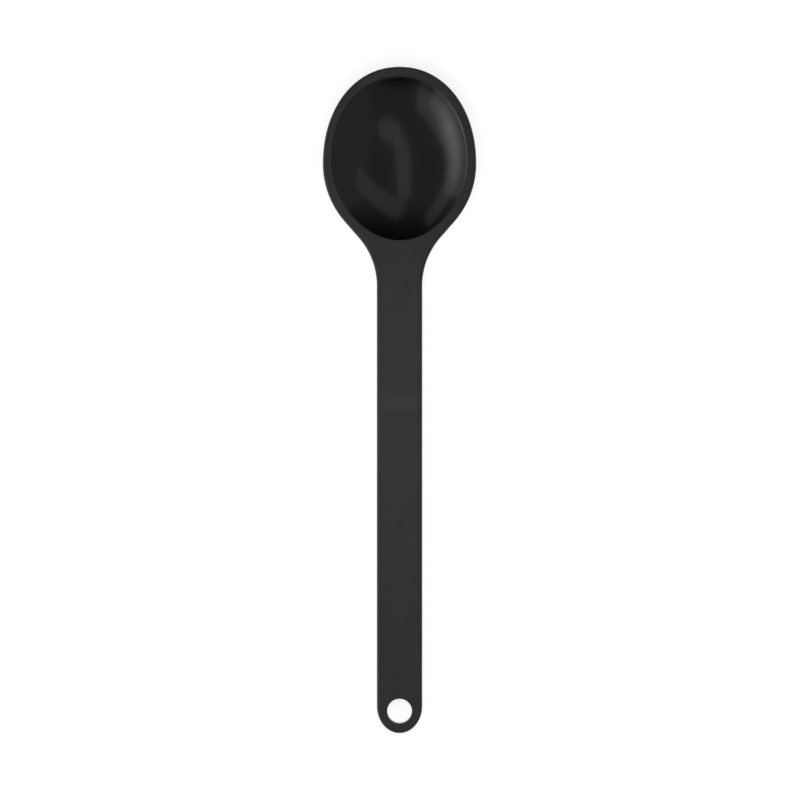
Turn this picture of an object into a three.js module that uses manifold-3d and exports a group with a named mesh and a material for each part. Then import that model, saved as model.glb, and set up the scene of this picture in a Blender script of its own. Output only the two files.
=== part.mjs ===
// Cooking spoon: a hard glossy bowl and a steel spine, both held in one over-moulded matte jacket.
// Millimetres, +Z up. The spoon lies on the plane z = 0 with its bowl towards +Y, as on a worktop.
import * as THREE from 'three';
import { mergeVertices } from 'three/addons/utils/BufferGeometryUtils.js';
import Module from 'manifold-3d';

// Plan view of the jacket
const OVERALL_LENGTH = 300;
const BOWL_WIDTH = 68.9;
const TIP_REACH = 43.4; // from the bowl's widest line to its tip
const TIP_FULLNESS = 2.1; // superellipse exponent of the tip, where 2 is a plain ellipse
const SHOULDER_RADIUS = 38.9; // flank of the bowl, below the widest line
const FLANK_LENGTH = 9.7; // straight stretch between shoulder and neck
const NECK_RADIUS = 32.8; // hollow curve into the handle
const HANDLE_WIDTH = 20.4;
const END_REACH = 12.1; // length of the half ellipse that ends the handle
const HANG_HOLE_DIAMETER = 11.2;
const HANG_HOLE_WALL = 4.4; // jacket left between the hang hole and the handle's end

// Walls of the bowl, from the inside out
const BOWL_DEPTH = 13; // below the rim, at the middle of the bowl
const BOWL_WALL = 1.5;
const BOND_GAP = 0.3; // stands for the moulded bond between pieces
const JACKET_WALL = 1.2;
const RIM_LIP = 0.9; // how far the rim stands out past the back of the bowl, at the sides
const TIP_RIM_EXTRA = 0.55; // extra rim width at the tip
const NECK_LAND = 20.5; // flat top between the bowl's mouth and the parallel handle
const MOUTH_EGG = 0.05; // how much fuller the mouth is towards the tip
const WALL_EASE = 0.9; // 0 makes the wall plumb at its lip, more leans it outwards
const LIP_COVER = 1.2; // jacket over the bowl's lip
const FOOT_CUT = 0.5; // depth of the flat under the bowl

// Side view of the jacket
const RIM_THICKNESS = 3.2;
const NECK_BLEND = 8; // softness of the hollow where the bowl's back runs into the neck
const RIM_BLEND = 0.8;
const TOP_ROUND = 1; // edge radius of the top face
const UNDER_ROUND = 2.2; // edge radius of the underside
const ROUND_SHARE = 0.4; // most of a wall that the underside's edge radius may take
const HEAD_TILT = 4.5; // degrees, the tip is raised
const HANDLE_RISE = 1.4; // degrees, the handle's climb out of the neck
const BEND_LENGTH = 14; // length of the bend at the neck
const TAB_LENGTH = 34; // straight end of the handle, with the hang hole

// Tail of the bowl and the spine in it
const TAIL_LENGTH = 24; // behind the bowl's mouth
const TAIL_WALL = 1;
const TAIL_SKIN = 1.6; // jacket under the tail
const SOCKET_FLOOR = 4; // between the bowl's mouth and the tongue in the tail
const SPINE_THICKNESS = 2;
const SPINE_SIDE_SKIN = 3.1; // jacket beside the spine
const SPINE_SKIN = 1.3; // jacket under the spine, at the handle's end
const EYE_SKIN = 1.5; // jacket outside the spine's eye
const HOLE_LINING = 1.4; // jacket between the hang hole and the spine's eye
const LOCK_HOLE_DIAMETER = 6;
const LOCK_HOLE_COUNT = 5;

// Fineness of the facets
const TIP_STEPS = 14;
const SHOULDER_STEPS = 6;
const FLANK_STEPS = 2;
const NECK_STEPS = 6;
const HANDLE_STEPS = 14;
const END_STEPS = 8;
const EDGE_STEPS = 3;
const UNDERSIDE_STEPS = 9;
const OVAL_SEGMENTS = 48;
const OVAL_RINGS = 10;
const HOLE_SEGMENTS = 28;
const BAR_STEP = 9;
const BACK_SAMPLES = 400;
const WELD = 1e-4;

const wasm = await Module();
wasm.setup();
const { degToRad, lerp, smoothstep } = THREE.MathUtils;

// Main lines across the spoon, as places along Y
const tipY = OVERALL_LENGTH / 2;
const endY = -tipY;
const widestY = tipY - TIP_REACH;
const endCurveY = endY + END_REACH;
const tabY = endY + TAB_LENGTH;
const holeRadius = HANG_HOLE_DIAMETER / 2;
const holeY = endY + HANG_HOLE_WALL + holeRadius;
const handleHalf = HANDLE_WIDTH / 2;
const bowlHalf = BOWL_WIDTH / 2;

// The flank's slant makes shoulder arc, straight flank and neck arc run into each other without a kink.
const arcRadii = SHOULDER_RADIUS + NECK_RADIUS;
const narrowing = bowlHalf - handleHalf;
const slantRoot = Math.sqrt(FLANK_LENGTH ** 2 + narrowing * (2 * arcRadii - narrowing));
const slant = 2 * Math.atan((slantRoot - FLANK_LENGTH) / (2 * arcRadii - narrowing));
const neckY = widestY - arcRadii * Math.sin(slant) - FLANK_LENGTH * Math.cos(slant);

// Mouth of the bowl
const wallStack = BOWL_WALL + BOND_GAP + JACKET_WALL;
const mouthHalf = bowlHalf - wallStack - RIM_LIP;
const mouthTipY = tipY - wallStack - RIM_LIP - TIP_RIM_EXTRA;
const mouthNeckY = neckY + NECK_LAND;
const mouthY = (mouthTipY + mouthNeckY) / 2;
const mouthReach = (mouthTipY - mouthNeckY) / 2;
const lipDepth = LIP_COVER + BOND_GAP;

// Tail and spine, with depths below the top face
const spineWidth = HANDLE_WIDTH - 2 * SPINE_SIDE_SKIN;
const socketWall = TAIL_WALL + BOND_GAP;
const spineTop = lipDepth + socketWall;
const spineBottom = spineTop + SPINE_THICKNESS;
const tailBottom = spineBottom + socketWall;
const tailY = mouthNeckY - TAIL_LENGTH;
const tongueY = mouthNeckY - SOCKET_FLOOR;
const eyeRadius = handleHalf - EYE_SKIN;
const eyeHoleRadius = holeRadius + HOLE_LINING;
const neckThickness = tailBottom + BOND_GAP + TAIL_SKIN;
const endThickness = spineBottom + BOND_GAP + SPINE_SKIN;
const throughDepth = neckThickness + BOWL_DEPTH;

// Depth of a bowl-shaped oval as a share: 1 at the middle, 0 at the lip
function dishShare(radius) {
  const edge = Math.sqrt(WALL_EASE);
  const middle = Math.sqrt(1 + WALL_EASE);
  return (Math.sqrt(1 + WALL_EASE - Math.min(radius, 1) ** 2) - edge) / (middle - edge);
}

// Maps the unit disc to the mouth's oval, grown by a wall
function ovalPoint(u, v, grow) {
  const x = (mouthHalf + grow) * u * (1 + MOUTH_EGG * v ** 3);
  return [x, mouthY + (mouthReach + grow) * v];
}

// Distance from the oval's middle, where 1 is on the grown oval
function ovalRadius(x, y, grow) {
  const v = (y - mouthY) / (mouthReach + grow);
  const u = x / ((mouthHalf + grow) * (1 + MOUTH_EGG * v ** 3));
  return Math.hypot(u, v);
}

// Thickness of the rim and handle, without the bowl
function slabThickness(y) {
  const handle = lerp(neckThickness, endThickness, smoothstep(-y, -neckY, -tabY));
  return lerp(RIM_THICKNESS, handle, neckShare(y));
}

// 0 over the bowl, 1 where the handle starts
function neckShare(y) {
  return smoothstep(-y, -widestY, -neckY);
}

// Depth of the underside below the top face
function undersideDepth(x, y) {
  const back = lipDepth + (BOWL_DEPTH + wallStack - lipDepth) * dishShare(ovalRadius(x, y, wallStack));
  const blend = lerp(RIM_BLEND, NECK_BLEND, neckShare(y));
  return smoothMax(slabThickness(y), back, blend);
}

function smoothMax(a, b, blend) {
  const near = Math.max(blend - Math.abs(a - b), 0);
  return Math.max(a, b) + near ** 2 / (4 * blend);
}

// Side view: the slope of the top face along Y changes steadily across the bend and along the arched handle.
const headSlope = Math.tan(degToRad(HEAD_TILT));
const riseSlope = -Math.tan(degToRad(HANDLE_RISE));
const bendStartY = neckY + BEND_LENGTH / 2;
const bendEndY = neckY - BEND_LENGTH / 2;
const archLength = bendEndY - tabY;

// The bowl's back dips to the foot's cut below the worktop.
const rimHeight = -lowestBack() - FOOT_CUT;
const bendStartHeight = rimHeight + headSlope * (bendStartY - mouthY);
const bendEndHeight = bendStartHeight - BEND_LENGTH * (headSlope + riseSlope) / 2;

// The handle drops just enough for the edge of its underside to reach the worktop.
const drop = bendEndHeight - slabThickness(endY + UNDER_ROUND);
const dropSlope = (drop - riseSlope * archLength / 2) / (archLength / 2 + TAB_LENGTH - UNDER_ROUND);

// Lowest point of the bowl's back, from the height of the tilted rim over the bowl's middle
function lowestBack() {
  let lowest = 0;
  for (let i = 0; i <= BACK_SAMPLES; i += 1) {
    const y = lerp(mouthNeckY, mouthTipY, i / BACK_SAMPLES);
    lowest = Math.min(lowest, headSlope * (y - mouthY) - undersideDepth(0, y));
  }
  return lowest;
}

function topHeight(y) {
  if (y > bendStartY) {
    return rimHeight + headSlope * (y - mouthY);
  }
  if (y > bendEndY) {
    return bendStartHeight - rampArea(bendStartY - y, BEND_LENGTH, headSlope, riseSlope);
  }
  if (y > tabY) {
    return bendEndHeight - rampArea(bendEndY - y, archLength, riseSlope, dropSlope);
  }
  return bendEndHeight - rampArea(archLength, archLength, riseSlope, dropSlope) - dropSlope * (tabY - y);
}

// Fall over a run along which the slope goes steadily from one value to another
function rampArea(run, length, from, to) {
  return run * from + (to - from) * run ** 2 / (2 * length);
}

// Sets a flat geometry, whose z is measured from the top face, on the curved top face.
function drape(geometry) {
  const places = geometry.getAttribute('position');
  for (let i = 0; i < places.count; i += 1) {
    places.setZ(i, places.getZ(i) + topHeight(places.getY(i)));
  }
  return geometry;
}

// Half of the plan outline, from the tip to the handle's end
class TipCurve extends THREE.Curve {
  getPoint(t, target = new THREE.Vector2()) {
    const angle = (1 - t) * Math.PI / 2;
    const power = 2 / TIP_FULLNESS;
    const x = bowlHalf * Math.cos(angle) ** power;
    const y = widestY + TIP_REACH * Math.sin(angle) ** power;
    return target.set(x, y);
  }
}

function outlineStations() {
  const neckCentre = handleHalf + NECK_RADIUS;
  const shoulder = new THREE.EllipseCurve(
    bowlHalf - SHOULDER_RADIUS, widestY, SHOULDER_RADIUS, SHOULDER_RADIUS, 0, -slant, true);
  const neck = new THREE.EllipseCurve(
    neckCentre, neckY, NECK_RADIUS, NECK_RADIUS, Math.PI - slant, Math.PI, false);
  const handle = new THREE.LineCurve(
    new THREE.Vector2(handleHalf, neckY), new THREE.Vector2(handleHalf, endCurveY));
  const end = new THREE.EllipseCurve(0, endCurveY, handleHalf, END_REACH, 0, -Math.PI / 2, true);
  const flank = new THREE.LineCurve(shoulder.getPoint(1), neck.getPoint(0));
  const tip = new TipCurve();
  const runs = [
    [tip, TIP_STEPS], [shoulder, SHOULDER_STEPS], [flank, FLANK_STEPS], [neck, NECK_STEPS],
    [handle, HANDLE_STEPS], [end, END_STEPS],
  ];
  const stations = [curveStation(tip, 0)];
  for (const [curve, steps] of runs) {
    for (let i = 1; i <= steps; i += 1) {
      stations.push(curveStation(curve, i / steps));
    }
  }
  return stations;
}

// Point of a curve with its outward normal
function curveStation(curve, t) {
  const point = curve.getPoint(t);
  const tangent = curve.getTangent(t);
  return { x: Math.max(point.x, 0), y: point.y, nx: -tangent.y, ny: tangent.x };
}

// One closed section of the jacket: over the top, round the right edge, under and up the left edge
function jacketRing({ x, y, nx, ny }) {
  const inset = (amount) => [Math.max(x - amount * nx, 0), y - amount * ny];
  const underRound = Math.min(UNDER_ROUND, ROUND_SHARE * slabThickness(y));
  const [underX, underY] = inset(underRound);
  const edgeDepth = undersideDepth(underX, underY);
  const right = [];
  for (let i = 0; i <= EDGE_STEPS; i += 1) {
    const turn = i / EDGE_STEPS * Math.PI / 2;
    right.push([...inset(TOP_ROUND * (1 - Math.sin(turn))), TOP_ROUND * (1 - Math.cos(turn))]);
  }
  for (let i = 0; i <= EDGE_STEPS; i += 1) {
    const turn = i / EDGE_STEPS * Math.PI / 2;
    right.push([...inset(underRound * (1 - Math.cos(turn))), edgeDepth - underRound * (1 - Math.sin(turn))]);
  }
  for (let i = 1; i < UNDERSIDE_STEPS; i += 1) {
    const across = underX * Math.cos(i / UNDERSIDE_STEPS * Math.PI / 2);
    right.push([across, underY, undersideDepth(across, underY)]);
  }
  const left = right.map(([across, along, depth]) => [-across, along, depth]).reverse();
  const keel = [0, underY, undersideDepth(0, underY)];
  return [...right, keel, ...left].map(([across, along, depth]) => (
    new THREE.Vector3(across, along, Math.max(topHeight(along) - depth, 0))
  ));
}

// Closed skin over a row of sections with equal numbers of points, whose first and last have no width
function loft(rings) {
  const count = rings[0].length;
  const corners = [];
  for (let i = 0; i + 1 < rings.length; i += 1) {
    for (let j = 0; j < count; j += 1) {
      const next = (j + 1) % count;
      const [a, b, c, d] = [rings[i][j], rings[i][next], rings[i + 1][next], rings[i + 1][j]];
      corners.push(a, c, b, a, d, c);
    }
  }
  return new THREE.BufferGeometry().setFromPoints(corners);
}

// Solid of revolution drawn out to the mouth's oval, from a profile of unit radii and heights
function ovalSolid(profile, grow) {
  const geometry = new THREE.LatheGeometry(profile, OVAL_SEGMENTS);
  geometry.rotateX(Math.PI / 2);
  const places = geometry.getAttribute('position');
  for (let i = 0; i < places.count; i += 1) {
    const [x, y] = ovalPoint(places.getX(i), places.getY(i), grow);
    places.setXY(i, x, y);
  }
  return solidOf(drape(geometry));
}

// Profile of a dish from its middle up to its lip
function dishProfile(lip, depth) {
  const points = [];
  for (let i = 0; i <= OVAL_RINGS; i += 1) {
    const radius = i === 0 ? 0 : Math.sin(i / OVAL_RINGS * Math.PI / 2);
    points.push(new THREE.Vector2(radius, -lip - (depth - lip) * dishShare(radius)));
  }
  return points;
}

// Outside of the bowl as a full solid, grown by a gap
function bowlBlank(gap) {
  const top = gap - lipDepth;
  const profile = dishProfile(lipDepth, BOWL_DEPTH + BOWL_WALL + gap);
  const lid = [new THREE.Vector2(1, top), new THREE.Vector2(0, top)];
  return ovalSolid([...profile, ...lid], BOWL_WALL + gap);
}

// Space in the bowl, and as much again above the rim
function bowlHollow() {
  const profile = dishProfile(lipDepth, BOWL_DEPTH);
  return ovalSolid([...profile, new THREE.Vector2(1, BOWL_DEPTH), new THREE.Vector2(0, BOWL_DEPTH)], 0);
}

// Box that follows the top face, from one place along Y to another
function drapedBar(width, fromY, toY, topDepth, bottomDepth) {
  const length = toY - fromY;
  const steps = Math.ceil(length / BAR_STEP);
  const geometry = new THREE.BoxGeometry(width, length, bottomDepth - topDepth, 1, steps, 1);
  geometry.translate(0, (fromY + toY) / 2, -(topDepth + bottomDepth) / 2);
  return solidOf(drape(geometry));
}

// Round disc or cutter on the top face's curve
function drapedDisc(radius, y, topDepth, bottomDepth) {
  const geometry = new THREE.CylinderGeometry(radius, radius, bottomDepth - topDepth, HOLE_SEGMENTS);
  geometry.rotateX(Math.PI / 2);
  geometry.translate(0, y, -(topDepth + bottomDepth) / 2);
  return solidOf(drape(geometry));
}

function tailBlank(gap) {
  const width = spineWidth + 2 * (socketWall + gap);
  return drapedBar(width, tailY - gap, mouthY, lipDepth - gap, tailBottom + gap);
}

function spineBlank(gap) {
  const top = spineTop - gap;
  const bottom = spineBottom + gap;
  let blank = drapedBar(spineWidth + 2 * gap, holeY, tongueY + gap, top, bottom);
  blank = blank.add(drapedDisc(eyeRadius + gap, holeY, top, bottom));
  blank = blank.subtract(drapedDisc(eyeHoleRadius - gap, holeY, -throughDepth, throughDepth));
  for (let i = 1; i <= LOCK_HOLE_COUNT; i += 1) {
    const y = lerp(tailY, holeY + eyeRadius, i / (LOCK_HOLE_COUNT + 1));
    const plug = drapedDisc(LOCK_HOLE_DIAMETER / 2 - gap, y, -throughDepth, throughDepth);
    blank = blank.subtract(plug);
  }
  return blank;
}

// Closed solid for joining and cutting
function solidOf(geometry) {
  geometry.deleteAttribute('normal');
  geometry.deleteAttribute('uv');
  const welded = mergeVertices(geometry, WELD);
  const index = welded.getIndex().array;
  const triVerts = [];
  for (let i = 0; i < index.length; i += 3) {
    const [a, b, c] = index.slice(i, i + 3);
    if (a !== b && b !== c && c !== a) {
      triVerts.push(a, b, c);
    }
  }
  const mesh = new wasm.Mesh({
    numProp: 3,
    vertProperties: welded.getAttribute('position').array,
    triVerts: new Uint32Array(triVerts),
  });
  return new wasm.Manifold(mesh);
}

function meshOf(name, solid, look) {
  const { vertProperties, triVerts } = solid.getMesh();
  const geometry = new THREE.BufferGeometry();
  geometry.setAttribute('position', new THREE.BufferAttribute(vertProperties, 3));
  geometry.setIndex(new THREE.BufferAttribute(triVerts, 1));
  geometry.computeVertexNormals();
  const mesh = new THREE.Mesh(geometry, new THREE.MeshStandardMaterial(look));
  mesh.name = name;
  return mesh;
}

// Bowl: a thin hard shell with a tail, socketed for the spine's tongue
function makeBowl() {
  const solid = bowlBlank(0).add(tailBlank(0)).subtract(bowlHollow()).subtract(spineBlank(BOND_GAP));
  return meshOf('bowl', solid, { color: 0x1b1b1d, roughness: 0.2, metalness: 0 });
}

// Spine: a flat steel strip with lock holes and an eye round the hang hole
function makeSpine() {
  return meshOf('spine', spineBlank(0), { color: 0xb9bcc0, roughness: 0.35, metalness: 1 });
}

// Jacket: the soft skin round both, open at the bowl's mouth and at the hang hole
function makeJacket() {
  const solid = solidOf(loft(outlineStations().map(jacketRing)))
    .subtract(bowlBlank(BOND_GAP))
    .subtract(bowlHollow())
    .subtract(tailBlank(BOND_GAP))
    .subtract(spineBlank(BOND_GAP))
    .subtract(drapedDisc(holeRadius, holeY, -throughDepth, throughDepth));
  return meshOf('jacket', solid, { color: 0x333335, roughness: 0.6, metalness: 0 });
}

const spoon = new THREE.Group();
spoon.add(makeBowl(), makeSpine(), makeJacket());

export default spoon;
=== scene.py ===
import math

import bmesh
import bpy
import numpy as np
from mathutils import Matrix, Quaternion, Vector


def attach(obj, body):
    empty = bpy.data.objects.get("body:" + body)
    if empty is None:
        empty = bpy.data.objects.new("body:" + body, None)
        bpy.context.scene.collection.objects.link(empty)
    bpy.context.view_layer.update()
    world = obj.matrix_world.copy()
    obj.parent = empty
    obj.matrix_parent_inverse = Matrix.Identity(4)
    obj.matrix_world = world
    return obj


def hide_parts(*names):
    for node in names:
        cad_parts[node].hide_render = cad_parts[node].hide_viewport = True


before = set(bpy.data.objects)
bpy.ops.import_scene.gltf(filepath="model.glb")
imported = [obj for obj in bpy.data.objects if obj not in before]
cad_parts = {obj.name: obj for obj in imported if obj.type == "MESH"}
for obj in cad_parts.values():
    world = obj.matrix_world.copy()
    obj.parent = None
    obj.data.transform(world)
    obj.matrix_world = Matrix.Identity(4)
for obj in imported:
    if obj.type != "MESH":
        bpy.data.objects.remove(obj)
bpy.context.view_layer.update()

# Plan view of the jacket, in metres
OVERALL_LENGTH = 0.3
BOWL_WIDTH = 0.0689
TIP_REACH = 0.0434
TIP_FULLNESS = 2.1
SHOULDER_RADIUS = 0.0389
FLANK_LENGTH = 0.0097
NECK_RADIUS = 0.0328
HANDLE_WIDTH = 0.0204
END_REACH = 0.0121
HANG_HOLE_DIAMETER = 0.0112
HANG_HOLE_WALL = 0.0044
HOLE_FIELD = 0.0115  # from the hole's middle to where the plain handle starts

# Walls of the bowl, from the inside out
BOWL_DEPTH = 0.013
BOWL_WALL = 0.0015
BOND_GAP = 0.0003
JACKET_WALL = 0.0012
RIM_LIP = 0.0009
TIP_RIM_EXTRA = 0.00055
NECK_LAND = 0.0205
MOUTH_EGG = 0.05
WALL_EASE = 0.9
LIP_COVER = 0.0012
FOOT_CUT = 0.0005
FOOT_BLEND = 0.00025

# Side view of the jacket
RIM_THICKNESS = 0.0032
NECK_BLEND = 0.008
RIM_BLEND = 0.0008
HEAD_TILT = 4.5  # degrees
HANDLE_RISE = 1.4  # degrees
BEND_LENGTH = 0.014
TAB_LENGTH = 0.034
NECK_THICKNESS = 0.008
END_THICKNESS = 0.0064

# Edges, which the solids show plainer
TOP_ROUND = 0.0013
UNDER_ROUND = 0.0022
ROUND_SHARE = 0.4
MOUTH_ROUND = 0.0003
HOLE_ROUND = 0.0006
RIM_FALL = 0.00015  # how much lower the rim is at its outer edge
LIP_BEVEL = 0.0006  # width of the polished bevel round the bowl's lip
BEVEL_ANGLE = 32  # degrees from level
PARTING_PROUD = 0.00005  # mould line along the edge
PARTING_WIDTH = 0.0002

# Fineness of the meshes
TIP_STEPS = 44
SHOULDER_STEPS = 18
FLANK_STEPS = 5
NECK_STEPS = 16
HANDLE_STEPS = 76
SIDE_STEPS = 5
END_STEPS = 22
ACROSS_STEPS = 24
RIM_ROWS = 10
EDGE_STEPS = 6
UNDER_STEPS = 8
BACK_ROWS = 44
CAVITY_ROWS = 24
HOLE_ROWS = 8
BOWL_COLUMNS = 192
BOWL_ROWS = 56
BEVEL_SHARES = (0.15, 0.85, 1)
BACK_SAMPLES = 400
WELD = 1e-6
SHARP_ANGLE = 60  # degrees between faces that meet in a hard edge

# Camera, from the photograph's frame of 800 pixels each way
PHOTO_SIZE = 800
TIP_ROW = 66.75  # pixel row of the bowl's tip
END_ROW = 733.1  # pixel row of the handle's end
CAMERA_HEIGHT = 1.7
CAMERA_ASIDE = 0.0002
SENSOR_WIDTH = 36

# Main lines across the spoon, as places along Y
tip_y = OVERALL_LENGTH / 2
end_y = -tip_y
widest_y = tip_y - TIP_REACH
end_curve_y = end_y + END_REACH
tab_y = end_y + TAB_LENGTH
hole_radius = HANG_HOLE_DIAMETER / 2
hole_y = end_y + HANG_HOLE_WALL + hole_radius
strip_end_y = hole_y + HOLE_FIELD
handle_half = HANDLE_WIDTH / 2
bowl_half = BOWL_WIDTH / 2

# The flank's slant makes shoulder arc, straight flank and neck arc run into each other without a kink.
arc_radii = SHOULDER_RADIUS + NECK_RADIUS
narrowing = bowl_half - handle_half
slant_root = math.sqrt(FLANK_LENGTH**2 + narrowing * (2 * arc_radii - narrowing))
slant = 2 * math.atan((slant_root - FLANK_LENGTH) / (2 * arc_radii - narrowing))
neck_y = widest_y - arc_radii * math.sin(slant) - FLANK_LENGTH * math.cos(slant)

# Mouth of the bowl
wall_stack = BOWL_WALL + BOND_GAP + JACKET_WALL
mouth_half = bowl_half - wall_stack - RIM_LIP
mouth_tip_y = tip_y - wall_stack - RIM_LIP - TIP_RIM_EXTRA
mouth_neck_y = neck_y + NECK_LAND
mouth_y = (mouth_tip_y + mouth_neck_y) / 2
mouth_reach = (mouth_tip_y - mouth_neck_y) / 2
lip_depth = LIP_COVER + BOND_GAP


def lerp(start, end, share):
    return start + (end - start) * share


def smoothstep(value, low, high):
    share = np.clip((value - low) / (high - low), 0, 1)
    return share * share * (3 - 2 * share)


def smooth_max(a, b, blend):
    near = np.maximum(blend - np.abs(a - b), 0)
    return np.maximum(a, b) + near**2 / (4 * blend)


def dish_share(radius):
    """Depth of a bowl-shaped oval as a share: 1 at the middle, 0 at the lip."""
    edge = math.sqrt(WALL_EASE)
    middle = math.sqrt(1 + WALL_EASE)
    return (np.sqrt(1 + WALL_EASE - np.minimum(radius, 1) ** 2) - edge) / (middle - edge)


def oval_point(u, v, grow):
    """Maps the unit disc to the mouth's oval, grown by a wall."""
    x = (mouth_half + grow) * u * (1 + MOUTH_EGG * v**3)
    return x, mouth_y + (mouth_reach + grow) * v


def oval_radius(x, y, grow):
    """Distance from the oval's middle, where 1 is on the grown oval."""
    v = (y - mouth_y) / (mouth_reach + grow)
    u = x / ((mouth_half + grow) * (1 + MOUTH_EGG * v**3))
    return np.hypot(u, v)


def neck_share(y):
    """0 over the bowl, 1 where the handle starts."""
    return smoothstep(-y, -widest_y, -neck_y)


def slab_thickness(y):
    """Thickness of the rim and handle, without the bowl."""
    handle = lerp(NECK_THICKNESS, END_THICKNESS, smoothstep(-y, -neck_y, -tab_y))
    return lerp(RIM_THICKNESS, handle, neck_share(y))


def underside_depth(x, y):
    """Depth of the underside below the top face."""
    back = lip_depth + (BOWL_DEPTH + wall_stack - lip_depth) * dish_share(oval_radius(x, y, wall_stack))
    blend = lerp(RIM_BLEND, NECK_BLEND, neck_share(y))
    return smooth_max(slab_thickness(y), back, blend)


def ramp_area(run, length, start, end):
    """Fall over a run along which the slope goes steadily from one value to another."""
    return run * start + (end - start) * run**2 / (2 * length)


# Side view: the slope of the top face changes steadily across the bend and along the arched handle.
head_slope = math.tan(math.radians(HEAD_TILT))
rise_slope = -math.tan(math.radians(HANDLE_RISE))
bend_start_y = neck_y + BEND_LENGTH / 2
bend_end_y = neck_y - BEND_LENGTH / 2
arch_length = bend_end_y - tab_y
keel_y = np.linspace(mouth_neck_y, mouth_tip_y, BACK_SAMPLES + 1)
lowest_back = np.min(head_slope * (keel_y - mouth_y) - underside_depth(0, keel_y))
rim_height = -lowest_back - FOOT_CUT
bend_start_height = rim_height + head_slope * (bend_start_y - mouth_y)
bend_end_height = bend_start_height - BEND_LENGTH * (head_slope + rise_slope) / 2
drop = bend_end_height - slab_thickness(end_y + UNDER_ROUND)
drop_slope = (drop - rise_slope * arch_length / 2) / (arch_length / 2 + TAB_LENGTH - UNDER_ROUND)
tab_height = bend_end_height - ramp_area(arch_length, arch_length, rise_slope, drop_slope)


def top_height(y):
    """Height of the top face along the spoon."""
    head = rim_height + head_slope * (y - mouth_y)
    bend = bend_start_height - ramp_area(bend_start_y - y, BEND_LENGTH, head_slope, rise_slope)
    arch = bend_end_height - ramp_area(bend_end_y - y, arch_length, rise_slope, drop_slope)
    tab = tab_height - drop_slope * (tab_y - y)
    return np.select([y > bend_start_y, y > bend_end_y, y > tab_y], [head, bend, arch], tab)


def row(x, y, depth):
    """Points at a depth below the top face, with the foot eased onto the worktop."""
    height = top_height(y) - depth
    eased = np.clip(height + FOOT_BLEND, 0, 2 * FOOT_BLEND) ** 2 / (4 * FOOT_BLEND)
    height = np.where(height > FOOT_BLEND, height, eased)
    return np.column_stack(np.broadcast_arrays(x, y, height))


def quarter_turn(steps):
    """Sine and cosine along a quarter of a circle."""
    turns = np.linspace(0, math.pi / 2, steps + 1)
    return list(zip(np.sin(turns), np.cos(turns)))


def rows_between(inner, outer, steps):
    """Plan points from one loop to another, closer together near both."""
    shares = (1 - np.cos(np.linspace(0, math.pi, steps + 1))) / 2
    return [(share, lerp(inner, outer, share)) for share in shares]


# Right half of the plan outline, from the tip to the handle's end, as x, y and outward normal
def tip_run():
    angles = np.linspace(math.pi / 2, 0, TIP_STEPS + 1)
    across = np.maximum(np.cos(angles), 0) ** (2 / TIP_FULLNESS)
    along = np.sin(angles) ** (2 / TIP_FULLNESS)
    normal_x = across ** (TIP_FULLNESS - 1) / bowl_half
    normal_y = along ** (TIP_FULLNESS - 1) / TIP_REACH
    length = np.hypot(normal_x, normal_y)
    return np.column_stack(
        [bowl_half * across, widest_y + TIP_REACH * along, normal_x / length, normal_y / length]
    )


def shoulder_run():
    angles = np.linspace(0, -slant, SHOULDER_STEPS + 1)
    cosine = np.cos(angles)
    sine = np.sin(angles)
    x = bowl_half - SHOULDER_RADIUS * (1 - cosine)
    return np.column_stack([x, widest_y + SHOULDER_RADIUS * sine, cosine, sine])


def neck_run():
    angles = np.linspace(slant, 0, NECK_STEPS + 1)
    cosine = np.cos(angles)
    sine = np.sin(angles)
    x = handle_half + NECK_RADIUS * (1 - cosine)
    return np.column_stack([x, neck_y + NECK_RADIUS * sine, cosine, -sine])


def straight_run(start, end, steps):
    shares = np.linspace(0, 1, steps + 1)[:, None]
    return lerp(np.asarray(start)[None], np.asarray(end)[None], shares)


def end_run():
    angles = np.linspace(0, -math.pi / 2, END_STEPS + 1)
    cosine = np.maximum(np.cos(angles), 0)
    sine = np.sin(angles)
    normal_x = cosine / handle_half
    normal_y = sine / END_REACH
    length = np.hypot(normal_x, normal_y)
    return np.column_stack(
        [handle_half * cosine, end_curve_y + END_REACH * sine, normal_x / length, normal_y / length]
    )


shoulder = shoulder_run()
neck = neck_run()
runs = [
    tip_run(),
    shoulder,
    straight_run(shoulder[-1], neck[0], FLANK_STEPS),
    neck,
    straight_run((handle_half, neck_y, 1, 0), (handle_half, strip_end_y, 1, 0), HANDLE_STEPS),
    straight_run((handle_half, strip_end_y, 1, 0), (handle_half, end_curve_y, 1, 0), SIDE_STEPS),
    end_run(),
]
stations = np.concatenate([runs[0]] + [run[1:] for run in runs[1:]])
shoulder_end = TIP_STEPS + SHOULDER_STEPS
neck_end = shoulder_end + FLANK_STEPS + NECK_STEPS
strip_end = neck_end + HANDLE_STEPS
across_shares = np.linspace(1, -1, ACROSS_STEPS + 1)
under_rounds = np.minimum(UNDER_ROUND, ROUND_SHARE * slab_thickness(stations[:, 1]))


def inset(amount):
    """Plan points of the right half, moved in from the outline."""
    amounts = np.broadcast_to(amount, len(stations))[:, None]
    return stations[:, :2] - amounts * stations[:, 2:]


def mirrored(points):
    """The same points on the left half, in reverse order."""
    return (points * (-1, 1))[::-1]


def whole_loop(amount):
    """Loop round the whole spoon."""
    right = inset(amount)
    return np.concatenate([right, mirrored(right)[1:-1]])


def head_loop(amount):
    """Loop round the head: the outline down to the neck, and a line across it there."""
    right = inset(amount)[: neck_end + 1]
    cut = right[-1] * np.column_stack([across_shares, np.ones_like(across_shares)])
    return np.concatenate([right, cut[1:-1], mirrored(right)[:-1]])


def end_loop(amount):
    """Loop round the hang hole: the handle's end, and a line across the handle above it."""
    right = inset(amount)[strip_end:]
    cut = right[0] * np.column_stack([-across_shares, np.ones_like(across_shares)])
    return np.concatenate([right, mirrored(right)[1:], cut[1:-1]])


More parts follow.
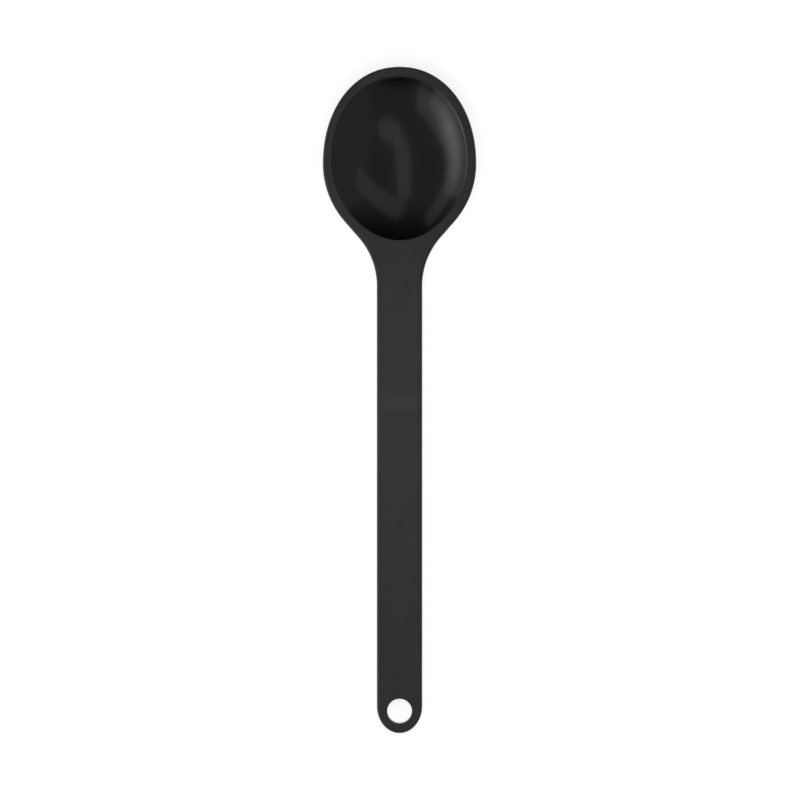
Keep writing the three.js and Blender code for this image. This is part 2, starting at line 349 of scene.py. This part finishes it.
def mouth_loop():
    """Places on the unit circle that the head's loop runs out from."""
    right = stations[: neck_end + 1]
    corner = right[-1, 0] / mouth_half
    angles = np.arctan2(mouth_reach * right[:, 3], mouth_half * right[:, 2])
    steps = np.hypot(*np.diff(right[shoulder_end:, :2], axis=0).T)
    shares = np.concatenate([[0], np.cumsum(steps) / np.sum(steps)])
    angles[shoulder_end:] = lerp(angles[shoulder_end], -math.acos(corner), shares)
    side = np.column_stack([np.cos(angles), np.sin(angles)])
    across = corner * across_shares[1:-1]
    cut = np.column_stack([across, -np.sqrt(1 - across**2)])
    return np.concatenate([side, cut, mirrored(side)[:-1]])


def add_sheet(mesh, rows, closed):
    """Adds quads through rows of points with equal counts."""
    grid = [[mesh.verts.new(point) for point in points] for points in rows]
    count = len(grid[0])
    spans = count if closed else count - 1
    for lower, upper in zip(grid, grid[1:]):
        for i in range(spans):
            j = (i + 1) % count
            mesh.faces.new((lower[i], lower[j], upper[j], upper[i]))


def make_piece(name, sheets, material, node):
    """One closed mesh from sheets that share their borders."""
    mesh = bmesh.new()
    for rows, closed in sheets:
        add_sheet(mesh, rows, closed)
    bmesh.ops.remove_doubles(mesh, verts=mesh.verts, dist=WELD)
    bmesh.ops.recalc_face_normals(mesh, faces=mesh.faces)
    for face in mesh.faces:
        face.smooth = True
    data = bpy.data.meshes.new(name)
    mesh.to_mesh(data)
    mesh.free()
    data.set_sharp_from_angle(angle=math.radians(SHARP_ANGLE))
    data.materials.append(material)
    piece = bpy.data.objects.new(name, data)
    bpy.context.collection.objects.link(piece)
    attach(piece, "root")
    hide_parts(node)
    return piece


# Jacket
def rim_fall(y):
    return RIM_FALL * (1 - neck_share(y))


def jacket_top():
    """Top face of the head, from the mouth's edge to the outer edge."""
    u, v = mouth_loop().T
    inner = np.column_stack(oval_point(u, v, MOUTH_ROUND))
    rows = []
    for share, points in rows_between(inner, head_loop(TOP_ROUND), RIM_ROWS):
        x, y = points.T
        rows.append(row(x, y, share * rim_fall(y)))
    return rows


def jacket_mouth():
    """Rounded mouth edge, the lip over the bowl, and the seat that holds the bowl."""
    u, v = mouth_loop().T
    rows = []
    for sine, cosine in quarter_turn(EDGE_STEPS):
        rows.append(row(*oval_point(u, v, MOUTH_ROUND * (1 - sine)), MOUTH_ROUND * (1 - cosine)))
    rows.append(row(*oval_point(u, v, 0), lip_depth))
    seat_grow = BOWL_WALL + BOND_GAP
    seat_depth = BOWL_DEPTH + BOWL_WALL + BOND_GAP - lip_depth
    for sine, cosine in quarter_turn(CAVITY_ROWS):
        depth = lip_depth + seat_depth * dish_share(cosine)
        rows.append(row(*oval_point(cosine * u, cosine * v, seat_grow), depth))
    return rows


def jacket_back():
    """Underside of the head, from its edge to the middle of the bowl's back."""
    outer = head_loop(under_rounds)
    middle = np.array([0, mouth_y])
    rows = []
    for sine, cosine in quarter_turn(BACK_ROWS):
        x, y = lerp(middle, outer, cosine).T
        rows.append(row(x, y, underside_depth(x, y)))
    return rows


def jacket_edge():
    """Rounded outer edge with the mould line, all round the spoon."""
    top_y = whole_loop(TOP_ROUND)[:, 1]
    fall = rim_fall(top_y)
    round_loop = np.concatenate([under_rounds, under_rounds[::-1][1:-1]])
    edge_depth = underside_depth(*whole_loop(under_rounds).T)
    rows = []
    for sine, cosine in quarter_turn(EDGE_STEPS):
        rows.append(row(*whole_loop(TOP_ROUND * (1 - sine)).T, fall + TOP_ROUND * (1 - cosine)))
    middle = (fall + TOP_ROUND + edge_depth - round_loop) / 2
    for side, proud in ((-0.5, 0), (0, PARTING_PROUD), (0.5, 0)):
        rows.append(row(*whole_loop(-proud).T, middle + side * PARTING_WIDTH))
    for sine, cosine in quarter_turn(UNDER_STEPS):
        rows.append(row(*whole_loop(under_rounds * (1 - cosine)).T, edge_depth - round_loop * (1 - sine)))
    return rows


def jacket_handle(under):
    """Top or underside of the handle, from the neck to the hang hole's field."""
    rows = []
    for x, y in inset(under_rounds if under else TOP_ROUND)[neck_end : strip_end + 1]:
        across = x * across_shares
        depth = underside_depth(across, np.full_like(across, y)) if under else 0
        rows.append(row(across, np.full_like(across, y), depth))
    return rows


def hole_loop(grow):
    """Loop on the hang hole's wall, facing the handle's end point by point."""
    outer = end_loop(0) - (0, hole_y)
    return (0, hole_y) + (hole_radius + grow) * outer / np.hypot(*outer.T)[:, None]


def jacket_tab(under):
    """Top or underside of the handle's end, from the hang hole to the outer edge."""
    outer = end_loop(under_rounds if under else TOP_ROUND)
    rows = []
    for share, points in rows_between(hole_loop(HOLE_ROUND), outer, HOLE_ROWS):
        x, y = points.T
        rows.append(row(x, y, underside_depth(x, y) if under else 0))
    return rows


def jacket_hole():
    """Wall of the hang hole with its rounded edges."""
    rows = []
    for sine, cosine in quarter_turn(EDGE_STEPS):
        x, y = hole_loop(HOLE_ROUND * (1 - sine)).T
        rows.append(row(x, y, HOLE_ROUND * (1 - cosine)))
    for sine, cosine in quarter_turn(EDGE_STEPS):
        x, y = hole_loop(HOLE_ROUND * (1 - cosine)).T
        rows.append(row(x, y, underside_depth(x, y) - HOLE_ROUND * (1 - sine)))
    return rows


def make_jacket(material):
    sheets = [
        (jacket_top(), True),
        (jacket_mouth(), True),
        (jacket_back(), True),
        (jacket_edge(), True),
        (jacket_handle(under=False), False),
        (jacket_handle(under=True), False),
        (jacket_tab(under=False), True),
        (jacket_tab(under=True), True),
        (jacket_hole(), True),
    ]
    return make_piece("silicone_jacket", sheets, material, "jacket")


# Bowl
def bowl_shell():
    """Inside of the bowl from its middle to the bevelled lip, over the lip and down the outside."""
    angles = np.linspace(0, 2 * math.pi, BOWL_COLUMNS, endpoint=False) - math.pi / 2
    u = np.cos(angles)
    v = np.sin(angles)
    rows = []
    for sine, cosine in quarter_turn(BOWL_ROWS):
        x, y = oval_point(sine * u, sine * v, -LIP_BEVEL)
        wall_depth = lip_depth + (BOWL_DEPTH - lip_depth) * dish_share(oval_radius(x, y, 0))
        rows.append(row(x, y, wall_depth))
    bevel_rise = LIP_BEVEL * math.tan(math.radians(BEVEL_ANGLE))
    for share in BEVEL_SHARES:
        rows.append(row(*oval_point(u, v, LIP_BEVEL * (share - 1)), wall_depth - share * bevel_rise))
    top_depth = wall_depth - bevel_rise
    outer_depth = BOWL_DEPTH + BOWL_WALL - top_depth
    for sine, cosine in quarter_turn(CAVITY_ROWS):
        depth = top_depth + outer_depth * dish_share(cosine)
        rows.append(row(*oval_point(cosine * u, cosine * v, BOWL_WALL), depth))
    return rows


def make_bowl(material):
    return make_piece("gloss_bowl", [(bowl_shell(), True)], material, "bowl")


# Materials; a noise is a pair of its scale, in features per metre, and its detail
NOISE_RANGE = (0.3, 0.7)  # where most of a noise's values lie
SKIN_DARK = (0.0125, 0.0125, 0.013)
SKIN_LIGHT = (0.026, 0.025, 0.029)
SKIN_MOTTLE = 0.1
SKIN_MOTTLE_NOISE = (150, 4)
SKIN_ROUGHNESS = (0.285, 0.35)
SKIN_ROUGHNESS_NOISE = (400, 3)
SKIN_GRAIN_NOISE = (2500, 1)
SKIN_GRAIN_HEIGHT = 0.000005
SKIN_IOR = 1.41
# Painted shade and sheen along the spoon: places from its end at 0 to its tip at 1, and how light the skin
# is painted there
SKIN_PAINTED_SHADE = ((0.15, 0.35), (0.45, 0.6), (0.62, 0.6), (0.72, 0.2))
BOWL_DARK = (0.0025, 0.0027, 0.0028)
BOWL_LIGHT = (0.004, 0.0042, 0.0043)
BOWL_CLOUD_NOISE = (60, 3)
BOWL_ROUGHNESS = (0.14, 0.18)
BOWL_ROUGHNESS_NOISE = (250, 4)
BOWL_GRAIN_NOISE = (900, 2)
BOWL_GRAIN_HEIGHT = 0.000002
STEEL_DARK = (0.46, 0.47, 0.48)
STEEL_LIGHT = (0.62, 0.63, 0.64)
STEEL_ROUGHNESS = (0.28, 0.42)
STEEL_BRUSH_NOISE = (1200, 4)
STEEL_BRUSH_STRETCH = (1, 0.03, 1)
STEEL_GRAIN_HEIGHT = 0.000008


def new_material(name):
    material = bpy.data.materials.new(name)
    material.use_nodes = True
    nodes = material.node_tree.nodes
    return material, nodes, material.node_tree.links, nodes["Principled BSDF"]


def noise(nodes, links, scale, detail, stretch=(1, 1, 1)):
    """Noise in the part's own coordinates."""
    place = nodes.new("ShaderNodeTexCoord")
    mapping = nodes.new("ShaderNodeMapping")
    mapping.inputs["Scale"].default_value = stretch
    texture = nodes.new("ShaderNodeTexNoise")
    texture.inputs["Scale"].default_value = scale
    texture.inputs["Detail"].default_value = detail
    links.new(place.outputs["Object"], mapping.inputs["Vector"])
    links.new(mapping.outputs["Vector"], texture.inputs["Vector"])
    return texture.outputs["Fac"]


def spread(nodes, links, source, low, high):
    """Spreads a noise over a range of numbers."""
    node = nodes.new("ShaderNodeMapRange")
    node.inputs["From Min"].default_value, node.inputs["From Max"].default_value = NOISE_RANGE
    node.inputs["To Min"].default_value = low
    node.inputs["To Max"].default_value = high
    links.new(source, node.inputs["Value"])
    return node.outputs["Result"]


def tint(nodes, links, source, dark, light):
    """Goes from one colour to another as a number goes from 0 to 1."""
    node = nodes.new("ShaderNodeMix")
    node.data_type = "RGBA"
    node.inputs["A"].default_value = (*dark, 1)
    node.inputs["B"].default_value = (*light, 1)
    links.new(source, node.inputs["Factor"])
    return node.outputs["Result"]


def ramp(nodes, links, source, stops):
    """Eases a number through pairs of place and value."""
    node = nodes.new("ShaderNodeValToRGB")
    node.color_ramp.interpolation = "EASE"
    elements = node.color_ramp.elements
    while len(elements) < len(stops):
        elements.new(1)
    for element, (place, value) in zip(elements, stops):
        element.position = place
        element.color = (value, value, value, 1)
    links.new(source, node.inputs["Fac"])
    return node.outputs["Color"]


def grain(nodes, links, source, shader, height):
    """Fine relief of a moulded or polished skin."""
    node = nodes.new("ShaderNodeBump")
    node.inputs["Strength"].default_value = 1
    node.inputs["Distance"].default_value = height
    links.new(source, node.inputs["Height"])
    links.new(node.outputs["Normal"], shader.inputs["Normal"])


def along_spoon(nodes, links, tones):
    """A number that changes along the spoon, from its end at 0 to its tip at 1."""
    place = nodes.new("ShaderNodeTexCoord")
    split = nodes.new("ShaderNodeSeparateXYZ")
    links.new(place.outputs["Object"], split.inputs["Vector"])
    share = nodes.new("ShaderNodeMapRange")
    share.inputs["From Min"].default_value = end_y
    share.inputs["From Max"].default_value = tip_y
    links.new(split.outputs["Y"], share.inputs["Value"])
    return ramp(nodes, links, share.outputs["Result"], tones)


def silicone_material():
    """Matte skin with painted shade and sheen, dark over the neck and head and lighter along the grip, with
    a faint mottle and a fine grain.
    """
    material, nodes, links, shader = new_material("matte_silicone")
    mottle = spread(nodes, links, noise(nodes, links, *SKIN_MOTTLE_NOISE), -SKIN_MOTTLE, SKIN_MOTTLE)
    shade_and_mottle = nodes.new("ShaderNodeMath")
    shade_and_mottle.operation = "ADD"
    # Painted shade and sheen along the spoon, added to the random mottle: dark over the neck and head,
    # lightest along the grip
    links.new(along_spoon(nodes, links, SKIN_PAINTED_SHADE), shade_and_mottle.inputs[0])
    links.new(mottle, shade_and_mottle.inputs[1])
    colour = tint(nodes, links, shade_and_mottle.outputs["Value"], SKIN_DARK, SKIN_LIGHT)
    links.new(colour, shader.inputs["Base Color"])
    roughness = spread(nodes, links, noise(nodes, links, *SKIN_ROUGHNESS_NOISE), *SKIN_ROUGHNESS)
    links.new(roughness, shader.inputs["Roughness"])
    shader.inputs["IOR"].default_value = SKIN_IOR
    grain(nodes, links, noise(nodes, links, *SKIN_GRAIN_NOISE), shader, SKIN_GRAIN_HEIGHT)
    return material


def bowl_material():
    """Polished skin with faint clouds, a little uneven in its gloss."""
    material, nodes, links, shader = new_material("polished_nylon")
    clouds = spread(nodes, links, noise(nodes, links, *BOWL_CLOUD_NOISE), 0, 1)
    colour = tint(nodes, links, clouds, BOWL_DARK, BOWL_LIGHT)
    links.new(colour, shader.inputs["Base Color"])
    roughness = spread(nodes, links, noise(nodes, links, *BOWL_ROUGHNESS_NOISE), *BOWL_ROUGHNESS)
    links.new(roughness, shader.inputs["Roughness"])
    grain(nodes, links, noise(nodes, links, *BOWL_GRAIN_NOISE), shader, BOWL_GRAIN_HEIGHT)
    return material


def steel_material():
    """Strip steel brushed along its length."""
    material, nodes, links, shader = new_material("brushed_steel")
    shader.inputs["Metallic"].default_value = 1
    brushed = noise(nodes, links, *STEEL_BRUSH_NOISE, stretch=STEEL_BRUSH_STRETCH)
    streaks = spread(nodes, links, brushed, 0, 1)
    colour = tint(nodes, links, streaks, STEEL_DARK, STEEL_LIGHT)
    links.new(colour, shader.inputs["Base Color"])
    links.new(spread(nodes, links, brushed, *STEEL_ROUGHNESS), shader.inputs["Roughness"])
    grain(nodes, links, brushed, shader, STEEL_GRAIN_HEIGHT)
    return material


# Stage
FLOOR_SIZE = 12
FLOOR_COLOUR = 0.8
FLOOR_SHOWN = 0.25  # the part of the seen floor's white that shadows dim
FLOOR_GLOW = 0.84
CEILING = 2.1
FILL_HEIGHT = 0.4
FILL_SIZE = 0.2
FILL_RADIANCE = 7
PANEL_FILL = {"RECTANGLE": 1, "ELLIPSE": math.pi / 4}  # share of its box that a panel fills
PANEL_MIDDLE = (0.5, 0.5, 0)  # in shares of the panel's sides
PANEL_REACH = 0.5  # from the middle to a side
SOFTBOX_TINT = (0.96, 0.99, 1)
SOFTBOX_GAIN = 4  # how much brighter the softbox's middle is than its sides
# Share of the way from -Y, at 0, to +Y, at 1, and the surroundings' strength in that direction
SURROUNDINGS = ((0.02, 0), (0.07, 0.25), (0.7, 0.25), (0.95, 0))
# Upward share of a direction up to which the horizon is pale, and where that has faded
HORIZON = (0.03, 0.08)
HORIZON_GLOW = 0.88


def make_floor():
    """White floor: what the camera and reflections see is lifted to white, and keeps the shadow."""
    material = bpy.data.materials.new("white_floor")
    material.use_nodes = True
    nodes = material.node_tree.nodes
    links = material.node_tree.links
    nodes.clear()
    path = nodes.new("ShaderNodeLightPath")
    seen = nodes.new("ShaderNodeMath")
    seen.operation = "MAXIMUM"
    links.new(path.outputs["Is Camera Ray"], seen.inputs[0])
    links.new(path.outputs["Is Glossy Ray"], seen.inputs[1])
    shown = nodes.new("ShaderNodeMath")
    shown.operation = "MAXIMUM"
    links.new(seen.outputs["Value"], shown.inputs[0])
    links.new(path.outputs["Is Transmission Ray"], shown.inputs[1])
    plain = nodes.new("ShaderNodeBsdfDiffuse")
    plain.inputs["Color"].default_value = (FLOOR_COLOUR, FLOOR_COLOUR, FLOOR_COLOUR, 1)
    lit = nodes.new("ShaderNodeBsdfDiffuse")
    lit.inputs["Color"].default_value = (FLOOR_SHOWN, FLOOR_SHOWN, FLOOR_SHOWN, 1)
    glow = nodes.new("ShaderNodeEmission")
    glow.inputs["Strength"].default_value = FLOOR_GLOW
    white = nodes.new("ShaderNodeAddShader")
    links.new(lit.outputs["BSDF"], white.inputs[0])
    links.new(glow.outputs["Emission"], white.inputs[1])
    mix = nodes.new("ShaderNodeMixShader")
    links.new(shown.outputs["Value"], mix.inputs["Fac"])
    links.new(plain.outputs["BSDF"], mix.inputs[1])
    links.new(white.outputs["Shader"], mix.inputs[2])
    output = nodes.new("ShaderNodeOutputMaterial")
    links.new(mix.outputs["Shader"], output.inputs["Surface"])
    data = bpy.data.meshes.new("floor")
    half = FLOOR_SIZE / 2
    corners = [(-half, -half, 0), (half, -half, 0), (half, half, 0), (-half, half, 0)]
    data.from_pydata(corners, [], [(0, 1, 2, 3)])
    data.materials.append(material)
    floor = bpy.data.objects.new("floor", data)
    bpy.context.collection.objects.link(floor)


def make_lamp(name, place, target, size, radiance, turn=0, shape="RECTANGLE"):
    """Panel lamp of an even radiance, where 1 looks white."""
    data = bpy.data.lights.new(name, "AREA")
    data.shape = shape
    data.size, data.size_y = size
    area = size[0] * size[1] * PANEL_FILL[shape]
    data.energy = math.pi * area * radiance
    lamp = bpy.data.objects.new(name, data)
    lamp.location = place
    facing = (Vector(target) - Vector(place)).to_track_quat("-Z", "Y")
    lamp.rotation_euler = (facing @ Quaternion((0, 0, 1), math.radians(turn))).to_euler()
    lamp.visible_camera = False
    bpy.context.collection.objects.link(lamp)
    return lamp


def brighten_middle(lamp, gain):
    """Makes a panel brighter towards its middle, as a softbox is."""
    lamp.data.use_nodes = True
    nodes = lamp.data.node_tree.nodes
    links = lamp.data.node_tree.links
    place = nodes.new("ShaderNodeNewGeometry")
    reach = nodes.new("ShaderNodeVectorMath")
    reach.operation = "DISTANCE"
    reach.inputs[1].default_value = PANEL_MIDDLE
    links.new(place.outputs["Parametric"], reach.inputs[0])
    fade = nodes.new("ShaderNodeMapRange")
    fade.interpolation_type = "SMOOTHSTEP"
    fade.inputs["From Max"].default_value = PANEL_REACH
    fade.inputs["To Min"].default_value = gain
    fade.inputs["To Max"].default_value = 1
    links.new(reach.outputs["Value"], fade.inputs["Value"])
    links.new(fade.outputs["Result"], nodes["Emission"].inputs["Strength"])


def standing_panel(name, bearing, distance, height, size, radiance):
    """Upright panel that faces the bowl, at a bearing in degrees from +X towards +Y."""
    angle = math.radians(bearing)
    place = (distance * math.cos(angle), mouth_y + distance * math.sin(angle), height)
    return make_lamp(name, place, (0, mouth_y, height), size, radiance)


def hanging_panel(name, x, y, drop, size, turn, radiance, shape="RECTANGLE"):
    """Level panel; its drop below the ceiling keeps it out of the plane of panels that it overlaps."""
    height = CEILING - drop
    return make_lamp(name, (x, y, height), (x, y, 0), size, radiance, turn, shape)


def make_lights():
    """Softbox and two wings on the left, a card on the right, three panels overhead and a soft fill."""
    softbox = standing_panel(
        "left_softbox", bearing=195, distance=0.9, height=0.45, size=(1.5, 0.6), radiance=0.5
    )
    softbox.data.color = SOFTBOX_TINT
    brighten_middle(softbox, SOFTBOX_GAIN)
    standing_panel("left_wing_far", bearing=150, distance=1.2, height=0.75, size=(1.2, 0.5), radiance=0.3)
    standing_panel("left_wing_near", bearing=225, distance=1.2, height=0.85, size=(1.1, 0.7), radiance=0.45)
    standing_panel("right_card", bearing=350, distance=1.5, height=1.2, size=(3, 2), radiance=0.08)
    hanging_panel("overhead_along", x=-0.15, y=0.2, drop=0, size=(0.55, 1.8), turn=5, radiance=0.4)
    hanging_panel("overhead_across", x=1.1, y=1.15, drop=0.02, size=(2.7, 1), turn=-25, radiance=0.3)
    hanging_panel(
        "overhead_round", x=0.45, y=-1, drop=0.04, size=(1.2, 0.8), turn=-30, radiance=0.4, shape="ELLIPSE"
    )
    fill = make_lamp("soft_fill", (0, 0, FILL_HEIGHT), (0, 0, 0), (FILL_SIZE, FILL_SIZE), FILL_RADIANCE)
    fill.visible_glossy = False


def make_world():
    """Dim surroundings that darken low down at both ends of the spoon, above a pale horizon."""
    world = bpy.data.worlds.new("studio")
    world.use_nodes = True
    nodes = world.node_tree.nodes
    links = world.node_tree.links
    place = nodes.new("ShaderNodeTexCoord")
    split = nodes.new("ShaderNodeSeparateXYZ")
    links.new(place.outputs["Generated"], split.inputs["Vector"])
    share = nodes.new("ShaderNodeMapRange")
    share.inputs["From Min"].default_value = -1
    links.new(split.outputs["Y"], share.inputs["Value"])
    around = ramp(nodes, links, share.outputs["Result"], SURROUNDINGS)
    horizon = nodes.new("ShaderNodeMapRange")
    horizon.interpolation_type = "SMOOTHSTEP"
    horizon.inputs["From Min"].default_value, horizon.inputs["From Max"].default_value = HORIZON
    horizon.inputs["To Min"].default_value = HORIZON_GLOW
    horizon.inputs["To Max"].default_value = 0
    links.new(split.outputs["Z"], horizon.inputs["Value"])
    strength = nodes.new("ShaderNodeMath")
    strength.operation = "MAXIMUM"
    links.new(around, strength.inputs[0])
    links.new(horizon.outputs["Result"], strength.inputs[1])
    links.new(strength.outputs["Value"], nodes["Background"].inputs["Strength"])
    nodes["Background"].inputs["Color"].default_value = (1, 1, 1, 1)
    bpy.context.scene.world = world


def make_camera():
    """Looks straight down, so that tip and end fall on the photograph's pixel rows."""
    tip_gap = CAMERA_HEIGHT - (top_height(tip_y) - TOP_ROUND - RIM_FALL)
    end_gap = CAMERA_HEIGHT - (top_height(end_y) - TOP_ROUND)
    tip_offset = PHOTO_SIZE / 2 - TIP_ROW
    end_offset = END_ROW - PHOTO_SIZE / 2
    ratio = tip_offset * tip_gap / (end_offset * end_gap)
    middle_y = (tip_y + ratio * end_y) / (1 + ratio)
    focal_pixels = tip_offset * tip_gap / (tip_y - middle_y)
    data = bpy.data.cameras.new("camera")
    data.sensor_width = SENSOR_WIDTH
    data.lens = focal_pixels * SENSOR_WIDTH / PHOTO_SIZE
    camera = bpy.data.objects.new("camera", data)
    camera.location = (CAMERA_ASIDE, middle_y, CAMERA_HEIGHT)
    bpy.context.collection.objects.link(camera)
    bpy.context.scene.camera = camera


make_jacket(silicone_material())
make_bowl(bowl_material())
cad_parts["spine"].data.materials.clear()
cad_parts["spine"].data.materials.append(steel_material())
make_floor()
make_lights()
make_world()
make_camera()
bpy.context.scene.view_settings.view_transform = "Standard"
